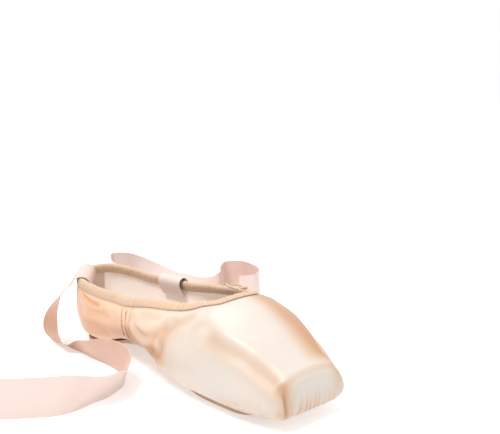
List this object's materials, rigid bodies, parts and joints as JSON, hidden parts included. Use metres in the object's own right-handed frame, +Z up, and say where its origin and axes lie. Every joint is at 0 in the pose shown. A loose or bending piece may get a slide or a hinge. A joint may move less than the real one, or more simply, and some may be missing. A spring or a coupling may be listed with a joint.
{
  "type": "pointe shoe",
  "caption": "Satin pointe shoe with a stiff flat-ended box, a narrow leather sole, a bound drawstring collar and sewn-in ribbons, standing empty on its sole.",
  "frame": {"origin": "on the floor, under the middle of the forefoot's tread", "axes": "+Z up, toe towards -Y, wearer's left at +X"},
  "size_m": [0.3318, 0.3482, 0.0655],
  "materials": {
    "satin": "peach and ivory satin",
    "leather": "plain tan sole leather",
    "suede": "greyish pink suede board",
    "tape": "cream cotton tape",
    "label": "white woven cloth",
    "ribbon": "pale pink satin ribbon"
  },
  "bodies": {
    "root": {"upper": "satin", "outsole": "leather", "insole": "suede", "collar_binding": "tape", "drawstring_knot": "tape", "inner_label": "label", "ribbon_right": "ribbon", "ribbon_left": "ribbon"}
  },
  "joints": []
}
